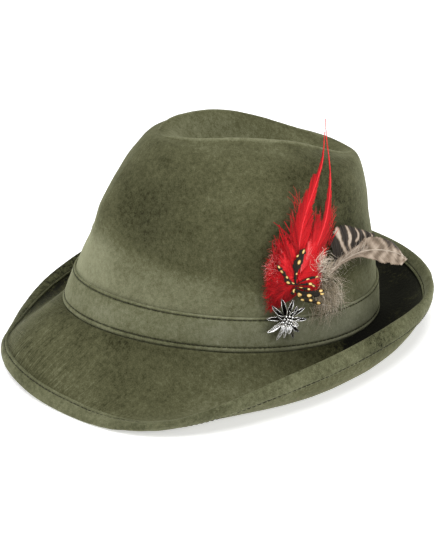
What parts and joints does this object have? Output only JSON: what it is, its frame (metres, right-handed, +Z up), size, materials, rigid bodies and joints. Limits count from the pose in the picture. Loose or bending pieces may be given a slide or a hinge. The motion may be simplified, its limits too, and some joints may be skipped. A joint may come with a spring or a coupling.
{
  "type": "tyrolean hat",
  "caption": "Soft olive-green hat with a creased crown, a brim turned down in front and up behind, a plain band, and feathers held by a metal flower on one side.",
  "frame": {"origin": "bottom centre of the bounding box, on the ground that the brim rests on", "axes": "+Z up, -Y towards the front of the hat, +X towards the wearer's left, where the trim is"},
  "size_m": [0.2632, 0.2732, 0.1397],
  "materials": {
    "hat_cloth": "brushed nap, matt",
    "band_cloth": "brushed nap, matt",
    "pin_metal": "antique silver, bright ridges over dark recesses",
    "red_feather": "dyed feather",
    "spotted_feather": "dark feather with cream spots",
    "barred_feather": "feather barred in dark brown and cream",
    "grey_feather": "grey-brown down"
  },
  "bodies": {
    "root": {"crown": "hat_cloth", "brim": "hat_cloth", "brim_hem": "band_cloth", "hat_band": "band_cloth", "edelweiss_pin": "pin_metal", "red_plume": "red_feather", "spotted_feathers": "spotted_feather", "barred_feather": "barred_feather", "grey_down": "grey_feather"}
  },
  "joints": []
}
